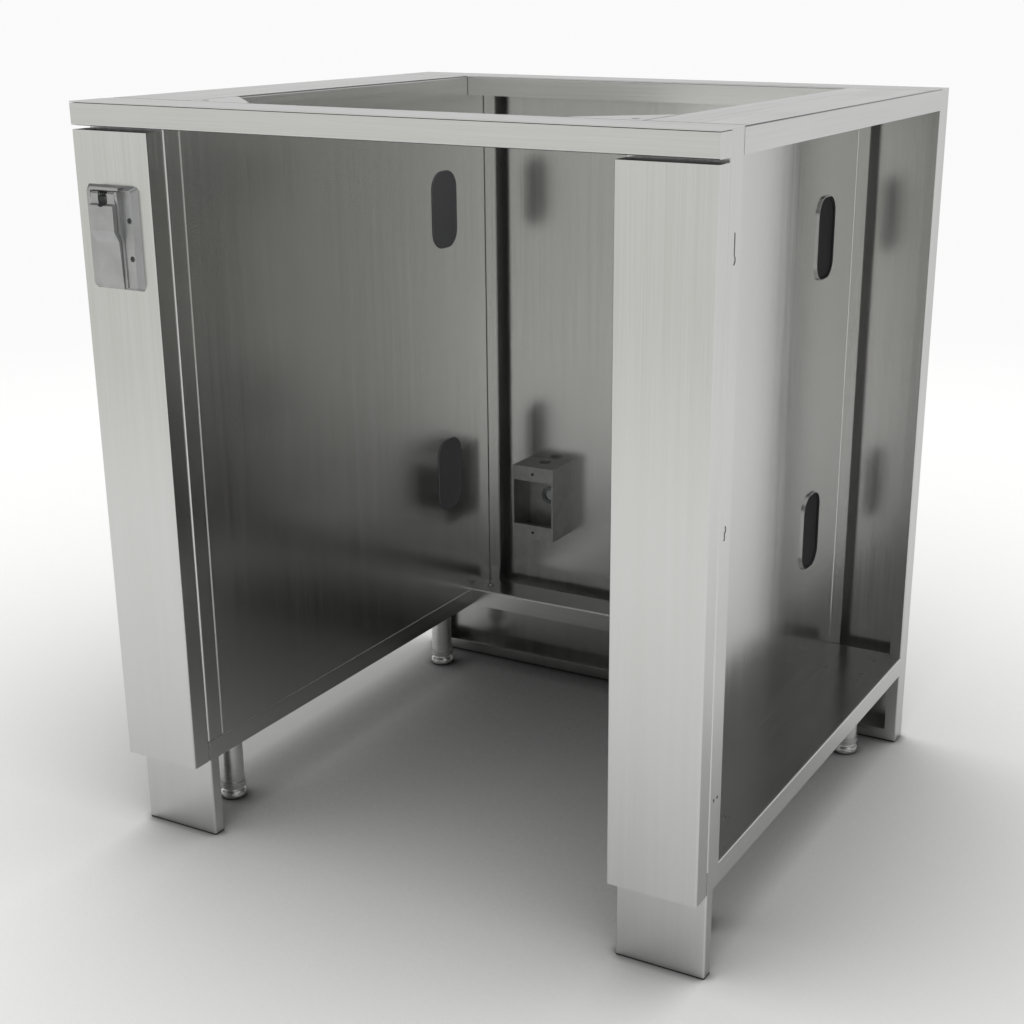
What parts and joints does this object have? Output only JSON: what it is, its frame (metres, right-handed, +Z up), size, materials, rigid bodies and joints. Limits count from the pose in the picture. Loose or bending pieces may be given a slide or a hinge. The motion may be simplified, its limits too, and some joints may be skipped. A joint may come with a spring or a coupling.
{
  "type": "outdoor refrigerator cabinet",
  "caption": "Open stainless steel outdoor cabinet that frames an undercounter refrigerator, with fascia posts, toe kicks, lined bay, cable ports, weatherproof outlet and levelling feet",
  "frame": {"origin": "on the floor below the middle of the bounding box", "axes": "+X to the right seen from the front, +Y from the open front to the back panel, +Z up"},
  "size_m": [0.762, 0.7322, 0.8763],
  "materials": {
    "brushed_stainless": "satin stainless sheet with a straight grain, mirror-like at a flat angle",
    "screw_steel": "turned stainless button heads",
    "leg_steel": "stainless tube with a fine turned grain",
    "foot_steel": "turned stainless pad and ring",
    "grommet_rubber": "dark moulded rubber grommet with a closed web, in a drawn collar",
    "cover_casting": "grey die casting, bead-blasted satin",
    "gasket_rubber": "black foam seal",
    "yoke_steel": "zinc-plated strap",
    "outlet_plastic": "light grey moulded plastic",
    "contact_brass": "plain brass strip",
    "box_plastic": "grey moulded device box",
    "button_dark": "black moulded button",
    "button_red": "red moulded button",
    "box_casting": "grey die-cast junction box",
    "bushing_steel": "plated conduit bushing"
  },
  "bodies": {
    "cabinet": {"back_panel": "brushed_stainless", "back_panel_screws": "screw_steel", "base_rail_screws": "screw_steel", "fascia_screws": "screw_steel", "front_apron": "brushed_stainless", "gusset_screws": "screw_steel", "junction_box": "box_casting", "junction_box_bushing": "bushing_steel", "junction_box_screws": "screw_steel", "left_base_pan": "brushed_stainless", "left_corner_gusset": "brushed_stainless", "left_fascia": "brushed_stainless", "left_front_stile": "brushed_stainless", "left_liner": "brushed_stainless", "left_port_grommets": "grommet_rubber", "left_rear_stile": "brushed_stainless", "left_toe_kick": "brushed_stainless", "leg_front_left": "leg_steel", "leg_front_right": "leg_steel", "leg_plugs": "foot_steel", "leg_rear_left": "leg_steel", "leg_rear_right": "leg_steel", "leg_screws": "screw_steel", "outlet_body": "outlet_plastic", "outlet_contacts": "contact_brass", "outlet_cover": "cover_casting", "outlet_cover_screws": "screw_steel", "outlet_device_box": "box_plastic", "outlet_face": "outlet_plastic", "outlet_gasket": "gasket_rubber", "outlet_hinge_pin": "screw_steel", "outlet_lid_spring": "screw_steel", "outlet_yoke": "yoke_steel", "outlet_yoke_screws": "screw_steel", "rear_base_rail": "brushed_stainless", "right_base_pan": "brushed_stainless", "right_corner_gusset": "brushed_stainless", "right_fascia": "brushed_stainless", "right_front_stile": "brushed_stainless", "right_liner": "brushed_stainless", "right_port_grommets": "grommet_rubber", "right_rear_stile": "brushed_stainless", "right_toe_kick": "brushed_stainless", "toe_kick_screws": "screw_steel", "top_front_rail": "brushed_stainless", "top_left_rail": "brushed_stainless", "top_rear_rail": "brushed_stainless", "top_right_rail": "brushed_stainless"},
    "lid": {"outlet_lid": "cover_casting"},
    "test_button": {"outlet_test_button": "button_dark"},
    "reset_button": {"outlet_reset_button": "button_red"},
    "foot_front_left_body": {"foot_front_left": "foot_steel"},
    "foot_front_right_body": {"foot_front_right": "foot_steel"},
    "foot_rear_left_body": {"foot_rear_left": "foot_steel"},
    "foot_rear_right_body": {"foot_rear_right": "foot_steel"}
  },
  "joints": [
    {"name": "lid_hinge", "type": "hinge", "parent": "cabinet", "child": "lid", "pos_m": [-0.331, -0.3588, 0.7815], "axis": [-1, 0, 0], "range_deg": [0, 110], "stiffness_Nm_per_rad": 0.03, "springref_deg": -28.65},
    {"name": "test_press", "type": "slide", "parent": "cabinet", "child": "test_button", "axis": [0, 1, 0], "range_m": [0, 0.0008], "stiffness_N_per_m": 800, "springref_m": -0.0005},
    {"name": "reset_press", "type": "slide", "parent": "cabinet", "child": "reset_button", "axis": [0, 1, 0], "range_m": [0, 0.0008], "stiffness_N_per_m": 800, "springref_m": -0.0005},
    {"name": "level_front_left", "type": "slide", "parent": "cabinet", "child": "foot_front_left_body", "axis": [0, 0, -1], "range_m": [0, 0.025]},
    {"name": "level_front_right", "type": "slide", "parent": "cabinet", "child": "foot_front_right_body", "axis": [0, 0, -1], "range_m": [0, 0.025]},
    {"name": "level_rear_left", "type": "slide", "parent": "cabinet", "child": "foot_rear_left_body", "axis": [0, 0, -1], "range_m": [0, 0.025]},
    {"name": "level_rear_right", "type": "slide", "parent": "cabinet", "child": "foot_rear_right_body", "axis": [0, 0, -1], "range_m": [0, 0.025]}
  ]
}
